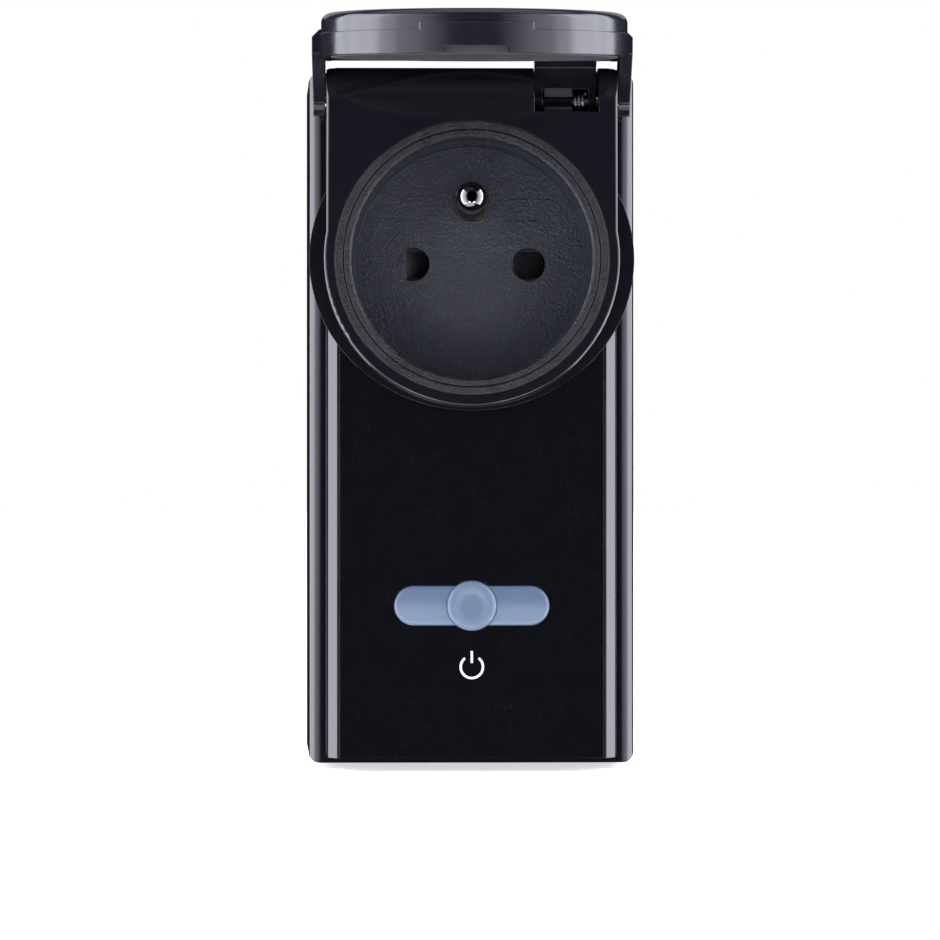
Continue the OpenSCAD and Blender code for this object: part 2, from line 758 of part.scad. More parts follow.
module fuse() color("#c9c4b4") stand() {
    rod(-3, 6, -38, 25.4, 2.3);
    for (x = [-5, 6 - eps]) rod(x, x + 2 + eps, -38, 25.4, 2.5);
}

module varistor() color("#2d4f93") stand() rod(0.5, 4.3, -70, 27.6, 4.6);

module board_screws() color("#a9adb2") stand() {
    for (x = [-post_x, post_x], y = post_ys) {
        post(x, y, 1.7, logic_h - 1.3, logic_h - 0.02);
        post(x, y, 0.85, logic_h - 1, inner_top - 2);
    }
    for (side = [-1, 1]) translate([side * main_post[0], main_post[1], 0]) {
        post(0, 0, 1.9, main_top + 0.02, main_top + 1.4);
        post(0, 0, 0.85, rear_h + wall, main_top + 1);
    }
}

// ---- Plug ----

// Pin with a rounded tip, a thicker shank in the plug's face, a flange and a tail
module plug_pin(x) translate([x, 0, 0]) rotate_extrude() {
    tip = 1.6;
    translate([0, tip - pin_len]) square([pin_r, pin_len - tip]);
    translate([0, -pin_len]) square([pin_r - tip, tip]);
    intersection() {
        translate([pin_r - tip, tip - pin_len]) circle(tip);
        translate([0, -pin_len]) square([pin_r, pin_len]);
    }
    square([shank_r, 8.2]);
    translate([0, 8.1]) square([3.8, 1.2]);
    translate([0, 9]) square([1.5, 4]);
}

module live_pin() color("#c9ccd0") stand() plug_pin(-half_pitch);
module neutral_pin() color("#c9ccd0") stand() plug_pin(half_pitch);

module pin_carrier() color("#26282e") stand() difference() {
    post(0, 0, puck_r - puck_wall - 0.2, puck_face + 0.05, 8.05);
    for (x = [-half_pitch, half_pitch]) post(x, 0, shank_r + 0.02, 0, 10);
    post(0, earth_up, 3.2, 0, 10);
    for (side = [-1, 1]) box([-3, 3], [min(side * 14, side * 20), max(side * 14, side * 20)],
        [0, 10]);
}

// Earth path: split sleeve for the wall's pin, cross strap and two side clips
module earth_bracket() color("#b98a52") stand() {
    clip_out = 17.7;
    difference() {
        union() {
            post(0, earth_up, 3.1, puck_face + 0.1, strap_h + eps);
            box([-clip_w / 2, clip_w / 2], [-clip_out, clip_out],
                [strap_h, strap_h + strap_t]);
        }
        post(0, earth_up, earth_hole_r, 0, strap_h);
        box([-0.3, 0.3], [earth_up - 4, earth_up], [0, strap_h - 1]);
    }
    for (side = [-1, 1]) along_x(-clip_w / 2, clip_w / 2) scale([side, 1])
        polygon([[16.9, strap_h + eps], [16.9, 10], [17.4, 7], [16.7, 4.2],
            [17.4, 4.2], [18.2, 7], [clip_out, 10], [clip_out, strap_h + eps]]);
}

module neutral_bar() color("#c28a4a") stand() along_y(-2, 2)
    polygon([[7.6, 13.05], [14, 13.05], [14, 17.55], [7.6, 17.55], [7.6, 16.95],
        [13.4, 16.95], [13.4, 13.65], [7.6, 13.65]]);

// ---- Wires, along points from one end to the other ----
wire_r = 0.9;
live_in = [[-9.5, 0, 13.2], [-9.5, 0, 13.8], [-9.5, -0.5, 14.8], [-9.6, -4.6, 16], [-10.2, -7.4, 18.2],
    [-11.2, -11, 20.1], [-12, -16, 20.6],
    [-13.5, -22.5, 22.2], [-14, -28, 25], [-14, -31.5, 25.4], [-14, -32.2, 22.7]];
live_out = [[-5, -32.2, 22.7], [-5, -31.5, 25.4], [-5, -27, 25], [-5.2, -21.5, 21.2],
    [-5.5, -12, 20.5], [-5.9, -4, 20.4], [-5.9, 2, 20.4]];
neutral_in = [[15, 0, 14.2], [15, -1.4, 15.8], [14.9, -3.2, 17.8], [14, -6, 19.5],
    [13.5, -13, 20.7],
    [13.5, -22, 22], [13.5, -27.5, 25], [13.5, -31.5, 25.4], [13.5, -32.2, 22.7]];

module live_in_wire() color("#7a4a28") stand() tube(curve(live_in, 3), wire_r, [1, 0, 0]);
module live_out_wire() color("#1d1e22") stand() tube(curve(live_out, 3), wire_r, [1, 0, 0]);
module neutral_wire() color("#2f62b0") stand() tube(curve(neutral_in, 3), wire_r, [1, 0, 0]);

front_cover();
rear_cover();
front_panel();
casing_seal();
socket_insert();
contact_housing();
earth_pin();
live_contact();
neutral_contact();
contact_springs();
shutter();
shutter_spring();
lid();
lid_seal();
hinge_pin();
lid_spring();
light_bar();
button();
button_seal();
switch_body();
switch_plunger();
control_board();
leds();
radio_module();
antenna();
board_header();
power_board();
relay_base();
relay_case();
relay_coil();
relay_armature();
film_capacitor();
storage_capacitor();
transformer_core();
transformer_winding();
fuse();
varistor();
live_pin();
neutral_pin();
pin_carrier();
earth_bracket();
neutral_bar();
live_in_wire();
live_out_wire();
neutral_wire();
case_screws();
board_screws();
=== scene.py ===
import json
import math

import bmesh
import bpy
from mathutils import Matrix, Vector


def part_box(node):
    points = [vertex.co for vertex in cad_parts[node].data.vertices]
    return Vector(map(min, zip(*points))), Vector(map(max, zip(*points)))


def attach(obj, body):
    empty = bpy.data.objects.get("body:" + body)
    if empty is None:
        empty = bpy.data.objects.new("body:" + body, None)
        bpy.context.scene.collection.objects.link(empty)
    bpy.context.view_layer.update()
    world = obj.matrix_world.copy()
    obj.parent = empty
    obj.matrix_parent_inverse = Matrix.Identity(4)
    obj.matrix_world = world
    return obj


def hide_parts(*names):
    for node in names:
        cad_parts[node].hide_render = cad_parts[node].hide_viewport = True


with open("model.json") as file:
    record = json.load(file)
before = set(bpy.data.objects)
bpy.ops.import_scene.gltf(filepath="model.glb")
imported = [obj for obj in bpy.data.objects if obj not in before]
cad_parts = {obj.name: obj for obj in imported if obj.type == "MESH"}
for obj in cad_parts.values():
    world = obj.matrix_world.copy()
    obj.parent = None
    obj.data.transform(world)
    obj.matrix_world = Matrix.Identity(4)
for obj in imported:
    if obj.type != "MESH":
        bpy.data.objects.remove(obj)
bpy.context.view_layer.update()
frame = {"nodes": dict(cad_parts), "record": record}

nodes = frame["nodes"]
MM = 0.001

# ---------------------------------------------------------------- places, from the frame
# The plug's pins point along +Y and the front faces -Y, so "out" is a distance towards -Y.


def out_of(node):
    """How far a node's front stands out from the wall, in mm."""
    return -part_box(node)[0].y / MM


def spot(x, out, up):
    """A point given in mm: across, out from the wall, and up from the socket's centre."""
    return Vector((x * MM, -out * MM, up * MM))


panel_out = out_of("front_panel")
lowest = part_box("rear_cover")[0].z

# ---------------------------------------------------------------- shader groups


def new_group(name, inputs, outputs):
    """An empty shader node group with float inputs (name, default) and typed outputs."""
    group = bpy.data.node_groups.new(name, "ShaderNodeTree")
    for label, value in inputs:
        socket = group.interface.new_socket(label, in_out="INPUT", socket_type="NodeSocketFloat")
        socket.default_value = value
    for label, kind in outputs:
        group.interface.new_socket(label, in_out="OUTPUT", socket_type="NodeSocket" + kind)
    given = group.nodes.new("NodeGroupInput")
    result = group.nodes.new("NodeGroupOutput")
    return group, given.outputs, result.inputs


def add(tree, kind, **settings):
    """A node with its settings; a name that is an input's name sets that input."""
    node = tree.nodes.new("ShaderNode" + kind)
    for key, value in settings.items():
        label = key.replace("_", " ").title()
        if hasattr(node, key):
            setattr(node, key, value)
        else:
            node.inputs[label].default_value = value
    return node


def wire(tree, *pairs):
    """Link each source socket to its target."""
    for source, target in pairs:
        tree.links.new(source, target)


def ramp(tree, source, stops):
    """A smooth step over a value, from one stop to the other; a stop is (value, result)."""
    node = tree.nodes.new("ShaderNodeMapRange")
    node.interpolation_type = "SMOOTHSTEP"
    (a, low), (b, high) = stops
    for label, value in (("From Min", a), ("From Max", b), ("To Min", low), ("To Max", high)):
        node.inputs[label].default_value = value
    tree.links.new(source, node.inputs["Value"])
    return node.outputs["Result"]


def math_node(tree, operation, a, b):
    """The result of a sum; a and b are numbers or sockets."""
    node = tree.nodes.new("ShaderNodeMath")
    node.operation = operation
    for socket, value in zip(node.inputs, (a, b)):
        if isinstance(value, (int, float)):
            socket.default_value = value
        else:
            tree.links.new(value, socket)
    return node.outputs[0]


def make_gloss_group():
    """Roughness that wanders: broad cloudy patches, and finer rubbed streaks."""
    group, given, result = new_group(
        "wandering_gloss", [("Rough Low", 0.1), ("Rough High", 0.2), ("Patch Size", 6)],
        [("Roughness", "Float")])
    place = add(group, "TexCoord").outputs["Object"]
    size = math_node(group, "DIVIDE", 1000, given["Patch Size"])
    broad = add(group, "TexNoise", detail=4.0, roughness=0.6, distortion=0.8)
    fine = add(group, "TexNoise", detail=2.0, roughness=0.5)
    wire(group, (place, broad.inputs["Vector"]), (size, broad.inputs["Scale"]),
         (place, fine.inputs["Vector"]),
         (math_node(group, "MULTIPLY", size, 9), fine.inputs["Scale"]))
    both = math_node(group, "ADD", math_node(group, "MULTIPLY", broad.outputs[0], 0.75),
                     math_node(group, "MULTIPLY", fine.outputs[0], 0.25))
    share = ramp(group, both, [(0.35, 0), (0.65, 1)])
    spread = math_node(group, "SUBTRACT", given["Rough High"], given["Rough Low"])
    wire(group, (math_node(group, "MULTIPLY_ADD", share, spread), result["Roughness"]))
    group.links.new(given["Rough Low"], result["Roughness"].links[0].from_node.inputs[2])
    return group


def make_grain_group():
    """Fine moulded grain: a cellular pebble with a noise over it, as a height."""
    group, given, result = new_group(
        "moulded_grain", [("Grain Size", 0.3), ("Noise Share", 0.5)], [("Height", "Float")])
    place = add(group, "TexCoord").outputs["Object"]
    scale = math_node(group, "DIVIDE", 1000, given["Grain Size"])
    cells = add(group, "TexVoronoi", feature="SMOOTH_F1")
    noise = add(group, "TexNoise", detail=6.0, roughness=0.65)
    wire(group, (place, cells.inputs["Vector"]), (scale, cells.inputs["Scale"]),
         (place, noise.inputs["Vector"]),
         (math_node(group, "MULTIPLY", scale, 0.45), noise.inputs["Scale"]))
    mixed = math_node(group, "MULTIPLY_ADD", noise.outputs[0], given["Noise Share"])
    group.links.new(cells.outputs["Distance"], mixed.node.inputs[2])
    wire(group, (mixed, result["Height"]))
    return group


def make_edge_group():
    """Where a surface turns sharply: a mask of its edges, and a normal that rounds them."""
    group, given, result = new_group(
        "worn_edges", [("Edge Width", 0.15), ("Patchiness", 0.5)],
        [("Mask", "Float"), ("Normal", "Vector")])
    place = add(group, "TexCoord").outputs["Object"]
    rounded = add(group, "Bevel", samples=6)
    radius = math_node(group, "MULTIPLY", given["Edge Width"], MM)
    wire(group, (radius, rounded.inputs["Radius"]))
    true_normal = add(group, "NewGeometry").outputs["Normal"]
    dot = group.nodes.new("ShaderNodeVectorMath")
    dot.operation = "DOT_PRODUCT"
    wire(group, (rounded.outputs["Normal"], dot.inputs[0]), (true_normal, dot.inputs[1]))
    edge = ramp(group, dot.outputs["Value"], [(0.99, 1), (0.85, 0)])
    edge = math_node(group, "SUBTRACT", 1, edge)
    patches = add(group, "TexNoise", scale=450.0, detail=4.0)
    wire(group, (place, patches.inputs["Vector"]))
    worn = ramp(group, patches.outputs[0], [(0.4, 0), (0.62, 1)])
    kept = math_node(group, "MULTIPLY_ADD", math_node(group, "SUBTRACT", worn, 1),
                     given["Patchiness"])
    kept.node.inputs[2].default_value = 1
    wire(group, (math_node(group, "MULTIPLY", edge, kept), result["Mask"]),
         (rounded.outputs["Normal"], result["Normal"]))
    return group


def make_fleck_group():
    """Sparse tiny flecks, such as dust and the pale grains of a filled plastic."""
    group, given, result = new_group(
        "fine_flecks", [("Fleck Size", 0.2), ("Amount", 0.5)], [("Mask", "Float")])
    place = add(group, "TexCoord").outputs["Object"]
    scale = math_node(group, "DIVIDE", 1000, given["Fleck Size"])
    cells = add(group, "TexVoronoi", feature="F1")
    where = add(group, "TexNoise", scale=260.0, detail=5.0, roughness=0.7)
    wire(group, (place, cells.inputs["Vector"]), (scale, cells.inputs["Scale"]),
         (place, where.inputs["Vector"]))
    dots = ramp(group, cells.outputs["Distance"], [(0.34, 1), (0.1, 0)])
    dots = math_node(group, "SUBTRACT", 1, dots)
    thick = ramp(group, where.outputs[0], [(0.42, 0), (0.66, 1)])
    share = math_node(group, "MULTIPLY", dots, thick)
    wire(group, (math_node(group, "MULTIPLY", share, given["Amount"]), result["Mask"]))
    return group


gloss_group = make_gloss_group()
grain_group = make_grain_group()
edge_group = make_edge_group()
fleck_group = make_fleck_group()


def use(tree, group, **values):
    """Place a shared group in a material with its own values."""
    node = tree.nodes.new("ShaderNodeGroup")
    node.node_tree = group
    for key, value in values.items():
        node.inputs[key.replace("_", " ").title()].default_value = value
    return node.outputs


# ---------------------------------------------------------------- finishes


def mix_colour(tree, mask, base, other):
    """One colour turning into another by a mask; either may be a socket."""
    node = add(tree, "Mix", data_type="RGBA")
    wire(tree, (mask, node.inputs["Factor"]))
    for socket, colour in ((node.inputs[6], base), (node.inputs[7], other)):
        if isinstance(colour, tuple):
            socket.default_value = (*colour, 1)
        else:
            tree.links.new(colour, socket)
    return node.outputs[2]


def painted_light_fade(finish, span, first, last, measure="Z", middle=(0, 0, 0)):
    """Paint light and shade by multiplying a finish's base colour by one fading from first to last
    over a span in mm.

    The span runs up the object (Z), back along it (Y), or outwards from a middle point.
    """
    tree = FINISHES[finish].node_tree
    surface = tree.nodes["Principled BSDF"]
    shade = surface.inputs["Base Color"].links[0].from_socket
    place = add(tree, "TexCoord").outputs["Object"]
    if measure == "distance":
        gauge = add(tree, "VectorMath", operation="DISTANCE")
        gauge.inputs[1].default_value = middle
        wire(tree, (place, gauge.inputs[0]))
        value = gauge.outputs["Value"]
    else:
        gauge = add(tree, "SeparateXYZ")
        wire(tree, (place, gauge.inputs["Vector"]))
        value = gauge.outputs[measure]
    share = ramp(tree, value, [(span[0] * MM, 0), (span[1] * MM, 1)])
    fade = mix_colour(tree, share, first, last)
    blend = add(tree, "Mix", data_type="RGBA", blend_type="MULTIPLY")
    blend.inputs["Factor"].default_value = 1
    wire(tree, (shade, blend.inputs[6]), (fade, blend.inputs[7]),
         (blend.outputs[2], surface.inputs["Base Color"]))


def finish_of(name, colour, worn, rough, patch=6, grain=0.3, grain_depth=0.0, noise=0.5,
              edge=0.12, wear=0.5, flecks=0.0, fleck_size=0.2, fleck_colour=(0.3, 0.31, 0.34),
              **shader):
    """A finish built of the shared groups. worn is the colour of rubbed edges."""
    material = bpy.data.materials.new(name)
    material.use_nodes = True
    tree = material.node_tree
    surface = tree.nodes["Principled BSDF"]
    gloss = use(tree, gloss_group, rough_low=rough[0], rough_high=rough[1], patch_size=patch)
    edges = use(tree, edge_group, edge_width=edge, patchiness=1.0)
    mask = math_node(tree, "MULTIPLY", edges["Mask"], wear)
    shade = mix_colour(tree, mask, colour, worn)
    if flecks:
        dots = use(tree, fleck_group, fleck_size=fleck_size, amount=flecks)
        shade = mix_colour(tree, dots["Mask"], shade, fleck_colour)
    bump = add(tree, "Bump", strength=1.0, distance=grain_depth * MM)
    height = use(tree, grain_group, grain_size=grain, noise_share=noise)
    wire(tree, (height["Height"], bump.inputs["Height"]), (edges["Normal"], bump.inputs["Normal"]),
         (bump.outputs["Normal"], surface.inputs["Normal"]),
         (shade, surface.inputs["Base Color"]), (gloss["Roughness"], surface.inputs["Roughness"]))
    for key, value in shader.items():
        surface.inputs[key.replace("_", " ").title().replace("Ior", "IOR")].default_value = value
    return material


FINISHES = {
    "casing": finish_of("glossy_black_casing", (0.0032, 0.0034, 0.0048),
                        (0.03, 0.031, 0.037), (0.06, 0.12), patch=9, grain=2.4,
                        grain_depth=0.0025, edge=0.12, wear=0.35, flecks=0.012,
                        fleck_size=0.35, ior=1.5),
    "panel": finish_of("piano_black_panel", (0.0018, 0.0019, 0.0027),
                       (0.03, 0.031, 0.037), (0.05, 0.1), patch=14, grain=3.0,
                       grain_depth=0.0015, edge=0.1, wear=0.35, flecks=0.02,
                       fleck_size=0.4, ior=1.45),
    "lid_plastic": finish_of("satin_black_lid", (0.0045, 0.0048, 0.0068),
                             (0.045, 0.047, 0.056), (0.13, 0.22), patch=7, grain=0.35,
                             grain_depth=0.003, edge=0.25, wear=0.5, flecks=0.04,
                             fleck_size=0.3, ior=1.5),
    "socket_plastic": finish_of("grained_socket_plastic", (0.0145, 0.016, 0.0275),
                                (0.075, 0.08, 0.105), (0.3, 0.55), patch=3, grain=0.32,
                                grain_depth=0.09, noise=1.6, edge=0.16, wear=0.7,
                                flecks=0.75, fleck_size=0.34,
                                fleck_colour=(0.11, 0.122, 0.175), ior=1.5),
    # Painted light: the knuckle is the casing's plastic, painted far paler than the casing to
    # stand in for the light that falls on it.
    "knuckle": finish_of("matt_knuckle_painted_light", (0.034, 0.0365, 0.052),
                         (0.06, 0.064, 0.08), (0.35, 0.55), patch=2, grain=0.5,
                         grain_depth=0.03, edge=0.2, wear=0.6, ior=1.5),
    "print": finish_of("white_print", (0.62, 0.63, 0.66), (0.5, 0.5, 0.53), (0.35, 0.5),
                       grain=0.4, grain_depth=0.003, edge=0.05),
    "inner_plastic": finish_of("cream_inner_moulding", (0.6, 0.57, 0.48), (0.7, 0.67, 0.6),
                               (0.4, 0.55), grain_depth=0.02),
    "dark_plastic": finish_of("plain_dark_moulding", (0.006, 0.0063, 0.008),
                              (0.04, 0.04, 0.045), (0.4, 0.6), grain_depth=0.02),
    "diffuser": finish_of("milky_blue_diffuser", (0.15, 0.2, 0.27), (0.17, 0.22, 0.29),
                          (0.3, 0.42), grain=1.2, grain_depth=0.004, edge=0.4, wear=0.3,
                          flecks=0.08, fleck_size=0.5, fleck_colour=(0.26, 0.31, 0.38),
                          subsurface_weight=0.35, subsurface_scale=0.002),
    "button_plastic": finish_of("milky_blue_button", (0.15, 0.2, 0.27),
                                (0.18, 0.23, 0.3), (0.3, 0.42), grain=1.1,
                                grain_depth=0.004, edge=0.3, wear=0.1, flecks=0.08,
                                fleck_size=0.4, fleck_colour=(0.24, 0.29, 0.36),
                                subsurface_weight=0.3, subsurface_scale=0.002),
    "seal_rubber": finish_of("soft_seal_rubber", (0.02, 0.021, 0.024), (0.06, 0.06, 0.07),
                             (0.6, 0.8), grain_depth=0.02, flecks=0.3),
    "clear_rubber": finish_of("pale_silicone", (0.5, 0.51, 0.54), (0.6, 0.61, 0.64),
                              (0.4, 0.6), grain_depth=0.01),
    "nickel": finish_of("bright_nickel", (0.78, 0.77, 0.75), (0.9, 0.89, 0.87), (0.08, 0.2),
                        patch=1.5, grain=0.5, grain_depth=0.002, edge=0.1, metallic=1.0),
    # The earth pin is painted far darker than bare nickel: painted shade, standing in for the dark
    # recess that it reflects.
    "pin": finish_of("polished_earth_pin", (0.2, 0.198, 0.2), (0.5, 0.5, 0.5), (0.06, 0.14),
                     patch=1.5, grain=0.5, grain_depth=0.001, edge=0.1, metallic=1.0),
    "spring_steel": finish_of("drawn_spring_wire", (0.62, 0.63, 0.65), (0.8, 0.8, 0.82),
                              (0.15, 0.3), patch=1, grain_depth=0.003, metallic=1.0),
    "screw_steel": finish_of("zinc_plated_steel", (0.5, 0.51, 0.53), (0.7, 0.71, 0.72),
                             (0.25, 0.42), patch=1.2, grain_depth=0.006, metallic=1.0),
    "bronze": finish_of("stamped_bronze", (0.55, 0.33, 0.14), (0.75, 0.52, 0.28),
                        (0.22, 0.4), patch=1.5, grain_depth=0.004, metallic=1.0),
    "board": finish_of("green_circuit_board", (0.02, 0.12, 0.055), (0.2, 0.22, 0.12),
                       (0.3, 0.45), grain_depth=0.01, flecks=0.4),
    "relay_blue": finish_of("blue_moulded_case", (0.03, 0.08, 0.3), (0.08, 0.14, 0.4),
                            (0.3, 0.45), grain_depth=0.01),
    "copper_wire": finish_of("enamelled_copper", (0.5, 0.2, 0.07), (0.7, 0.35, 0.15),
                             (0.2, 0.35), metallic=1.0),
    "film_yellow": finish_of("yellow_film_case", (0.55, 0.38, 0.05), (0.65, 0.5, 0.15),
                             (0.35, 0.5), grain_depth=0.01),
    "ferrite": finish_of("grey_ferrite", (0.04, 0.04, 0.045), (0.12, 0.12, 0.13),
                         (0.6, 0.8), grain_depth=0.03, flecks=0.4),
    "shield": finish_of("tinned_shield", (0.6, 0.61, 0.62), (0.75, 0.75, 0.76),
                        (0.3, 0.45), metallic=1.0),
    "brown_wire": finish_of("brown_wire_jacket", (0.12, 0.045, 0.02), (0.2, 0.1, 0.05),
                            (0.4, 0.55)),
    "black_wire": finish_of("black_wire_jacket", (0.015, 0.015, 0.017), (0.05, 0.05, 0.05),
                            (0.4, 0.55)),
    "blue_wire": finish_of("blue_wire_jacket", (0.03, 0.09, 0.35), (0.1, 0.16, 0.45),
                           (0.4, 0.55)),
    "ceramic": finish_of("glazed_ceramic", (0.55, 0.53, 0.46), (0.65, 0.63, 0.56),
                         (0.2, 0.35)),
}

slot_of = {p["node"]: p["material_slot"] for p in frame["record"]["subparts"]}
slot_of["shutter"] = "dark_plastic"      # deep in the recess, where hardly any light falls
for name, node in nodes.items():
    node.data.materials.clear()
    node.data.materials.append(FINISHES[slot_of[name]])

# ---------------------------------------------------------------- modelling


def fresh(name, primitive, **settings):
    """A new primitive, alone in the selection and open in edit mode."""
    bpy.ops.object.select_all(action="DESELECT")
    getattr(bpy.ops.mesh, f"primitive_{primitive}_add")(**settings)
    piece = bpy.context.active_object
    piece.name = piece.data.name = name
    bpy.ops.object.transform_apply(location=True, rotation=True, scale=True)
    bpy.ops.object.mode_set(mode="EDIT")
    return piece


def pick(piece, kind, test):
    """Select the vertices or edges whose middle passes the test, in mm."""
    mesh = bmesh.from_edit_mesh(piece.data)
    bpy.ops.mesh.select_mode(type=kind)
    bpy.ops.mesh.select_all(action="DESELECT")
    for part in {"VERT": mesh.verts, "EDGE": mesh.edges}[kind]:
        middle = part.co if kind == "VERT" else (part.verts[0].co + part.verts[1].co) / 2
        if test(middle.x / MM, -middle.y / MM, middle.z / MM):
            part.select_set(True)
    mesh.select_flush_mode()
    bmesh.update_edit_mesh(piece.data)


def drag(across=0, out=0, up=0):
    """Move what is selected, in mm."""
    bpy.ops.transform.translate(value=(across * MM, -out * MM, up * MM))


def pull(across=0, out=0, up=0):
    """Extrude what is selected and move it, in mm."""
    bpy.ops.mesh.extrude_region_move(
        TRANSFORM_OT_translate={"value": (across * MM, -out * MM, up * MM)})


SMOOTH_BELOW = 35                        # degrees between faces that are shaded as one
MERGE_WITHIN = 0.002 * MM


def closed(piece, finish, smooth=SMOOTH_BELOW):
    """Leave edit mode with doubles merged and faces outward, then shade and finish."""
    bpy.ops.mesh.select_mode(type="VERT")
    bpy.ops.mesh.select_all(action="SELECT")
    bpy.ops.mesh.remove_doubles(threshold=MERGE_WITHIN)
    bpy.ops.mesh.dissolve_degenerate(threshold=MERGE_WITHIN)
    bpy.ops.mesh.normals_make_consistent(inside=False)
    bpy.ops.object.mode_set(mode="OBJECT")
    bpy.ops.object.shade_smooth_by_angle(angle=math.radians(smooth))
    piece.data.materials.clear()
    piece.data.materials.append(FINISHES[finish])


def turned(name, at, outline, finish, steps=96, smooth=SMOOTH_BELOW):
    """A piece turned on a lathe about an axis through at: outline is (radius, out) in mm."""
    piece = fresh(name, "plane", size=MM, location=(0, 0, 0))
    bpy.ops.mesh.select_all(action="SELECT")
    bpy.ops.mesh.merge(type="CENTER")
    start_r, start_out = outline[0]
    drag(at[0] + start_r, start_out, at[1])
    for (r0, h0), (r1, h1) in zip(outline, outline[1:]):
        pull(r1 - r0, h1 - h0)
    bpy.ops.mesh.select_all(action="SELECT")
    bpy.ops.mesh.spin(steps=steps, angle=2 * math.pi, center=spot(at[0], 0, at[1]),
                      axis=(0, 1, 0))
    closed(piece, finish, smooth)
    return piece


def rounded(r0, h0, r1, h1, steps):
    """Points of a convex quarter round that starts at (r0, h0) and ends at (r1, h1)."""
    points = []
    for k in range(1, steps + 1):
        a = math.pi / 2 * k / steps
        points.append((r0 + (r1 - r0) * (1 - math.cos(a)), h0 + (h1 - h0) * math.sin(a)))
    return points


def cut(piece, tool):
    """Take the tool's shape out of a piece, and throw the tool away."""
    bpy.ops.object.select_all(action="DESELECT")
    piece.select_set(True)
    bpy.context.view_layer.objects.active = piece
    bpy.ops.object.modifier_add(type="BOOLEAN")
    piece.modifiers[-1].object = tool
    piece.modifiers[-1].operation = "DIFFERENCE"
    piece.modifiers[-1].solver = "EXACT"
    bpy.ops.object.modifier_apply(modifier=piece.modifiers[-1].name)
    bpy.data.objects.remove(tool)
    bpy.ops.object.shade_smooth_by_angle(angle=math.radians(SMOOTH_BELOW))


def kept(piece, body, slot, *replaced):
    """Ride a finished piece on a body; it takes the place of the nodes it replaces."""
    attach(piece, body)
    if replaced:
        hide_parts(*replaced)


# ---------------------------------------------------------------- socket

FLOOR_OUT = 38.0
PIN_R = 2.4
HOLE_X, HOLE_R = 9.5, 2.75
pin_up = (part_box("earth_pin")[0].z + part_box("earth_pin")[1].z) / 2 / MM
pin_out = out_of("earth_pin")


def make_earth_pin():
    """Solid turned pin with a domed tip."""
    dome, foot_out = 1.9, FLOOR_OUT - 3
    outline = [(0, foot_out), (PIN_R, foot_out), (PIN_R, pin_out - dome)]
    outline += rounded(PIN_R, pin_out - dome, PIN_R - dome, pin_out, 14)
    outline += [(0, pin_out)]
    pin = turned("turned_earth_pin", (0, pin_up), outline, "pin", 72)
    kept(pin, "casing", "nickel", "earth_pin")


def make_hole_guard(name, x, cover):
    """Edge of the moulding that shows behind the left part of a live hole."""
    margin, back_out, thick, edge_round = 0.25, FLOOR_OUT - 0.9, 0.55, 0.12
    guard = fresh(name, "circle", vertices=64, radius=(HOLE_R + margin) * MM,
                  fill_type="NGON", location=spot(x, back_out, 0),
                  rotation=(math.pi / 2, 0, 0))
    edge = x - HOLE_R + cover
    bpy.ops.mesh.select_all(action="SELECT")
    bpy.ops.mesh.bisect(plane_co=spot(edge, 0, 0), plane_no=(1, 0, 0), clear_outer=True,
                        use_fill=False)
    bpy.ops.mesh.select_all(action="SELECT")
    pull(0, thick, 0)
    pick(guard, "EDGE", lambda across, out, up: out > back_out + 0.7 * thick)
    bpy.ops.mesh.bevel(offset=edge_round * MM, segments=3, affect="EDGES")
    closed(guard, "socket_plastic")
    kept(guard, "casing", "socket_plastic")


def make_floor_marks():
    """Two rows of plain raised dashes on the recess's floor, beside the earth pin."""
    rows = ((10.4, (6.4, 8.0, 10.4, 12.2)), (6.9, (5.4, 7.2, 9.4)))
    long, thick, wide, edge_round, lift = 1.3, 0.3, 0.5, 0.09, 0.02
    dashes = []
    for up, starts in rows:
        for x in starts:
            dash = fresh("floor_mark", "cube", size=MM, location=(0, 0, 0))
            bpy.ops.mesh.select_all(action="SELECT")
            bpy.ops.transform.resize(value=(long, thick, wide))
            drag(x + long / 2, FLOOR_OUT + lift, up)
            pick(dash, "EDGE", lambda across, out, up: out > FLOOR_OUT + thick / 3)
            bpy.ops.mesh.bevel(offset=edge_round * MM, segments=3, affect="EDGES")
            closed(dash, "socket_plastic")
            dashes.append(dash)
    bpy.ops.object.select_all(action="DESELECT")
    for dash in dashes:
        dash.select_set(True)
    bpy.context.view_layer.objects.active = dashes[0]
    bpy.ops.object.join()
    dashes[0].name = "floor_marks"
    kept(dashes[0], "casing", "socket_plastic")


# ---------------------------------------------------------------- light bar and button

button_low, button_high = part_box("button")
bar_up = (button_low.z + button_high.z) / 2 / MM
bar_out = out_of("light_bar")
button_out = out_of("button")
BAR_HALF, BAR_R, BUTTON_R, BUTTON_GAP = 12.45, 3.2, 4.0, 0.02


def make_light_bar():
    """Crowned bar with full round ends, cut out round the button."""
    root_out, crown = panel_out - 1, 0.85
    bar = fresh("light_bar_lens", "circle", vertices=96, radius=BAR_R * MM,
                fill_type="NGON", location=spot(0, root_out, bar_up),
                rotation=(math.pi / 2, 0, 0))
    for side in (-1, 1):
        pick(bar, "VERT", lambda across, out, up: across * side > 0.001)
        drag(side * (BAR_HALF - BAR_R))
    bpy.ops.mesh.select_all(action="SELECT")
    pull(0, bar_out - root_out, 0)
    pick(bar, "EDGE", lambda across, out, up: out > bar_out - 0.01)
    bpy.ops.mesh.bevel(offset=crown * MM, segments=10, affect="EDGES", profile=0.62)
    closed(bar, "diffuser")
    hole = fresh("button_hole", "cylinder", vertices=96, radius=(BUTTON_R + BUTTON_GAP) * MM,
                 depth=8 * MM, location=spot(0, panel_out, bar_up),
                 rotation=(math.pi / 2, 0, 0))
    closed(hole, "diffuser")
    cut(bar, hole)
    kept(bar, "casing", "diffuser", "light_bar")


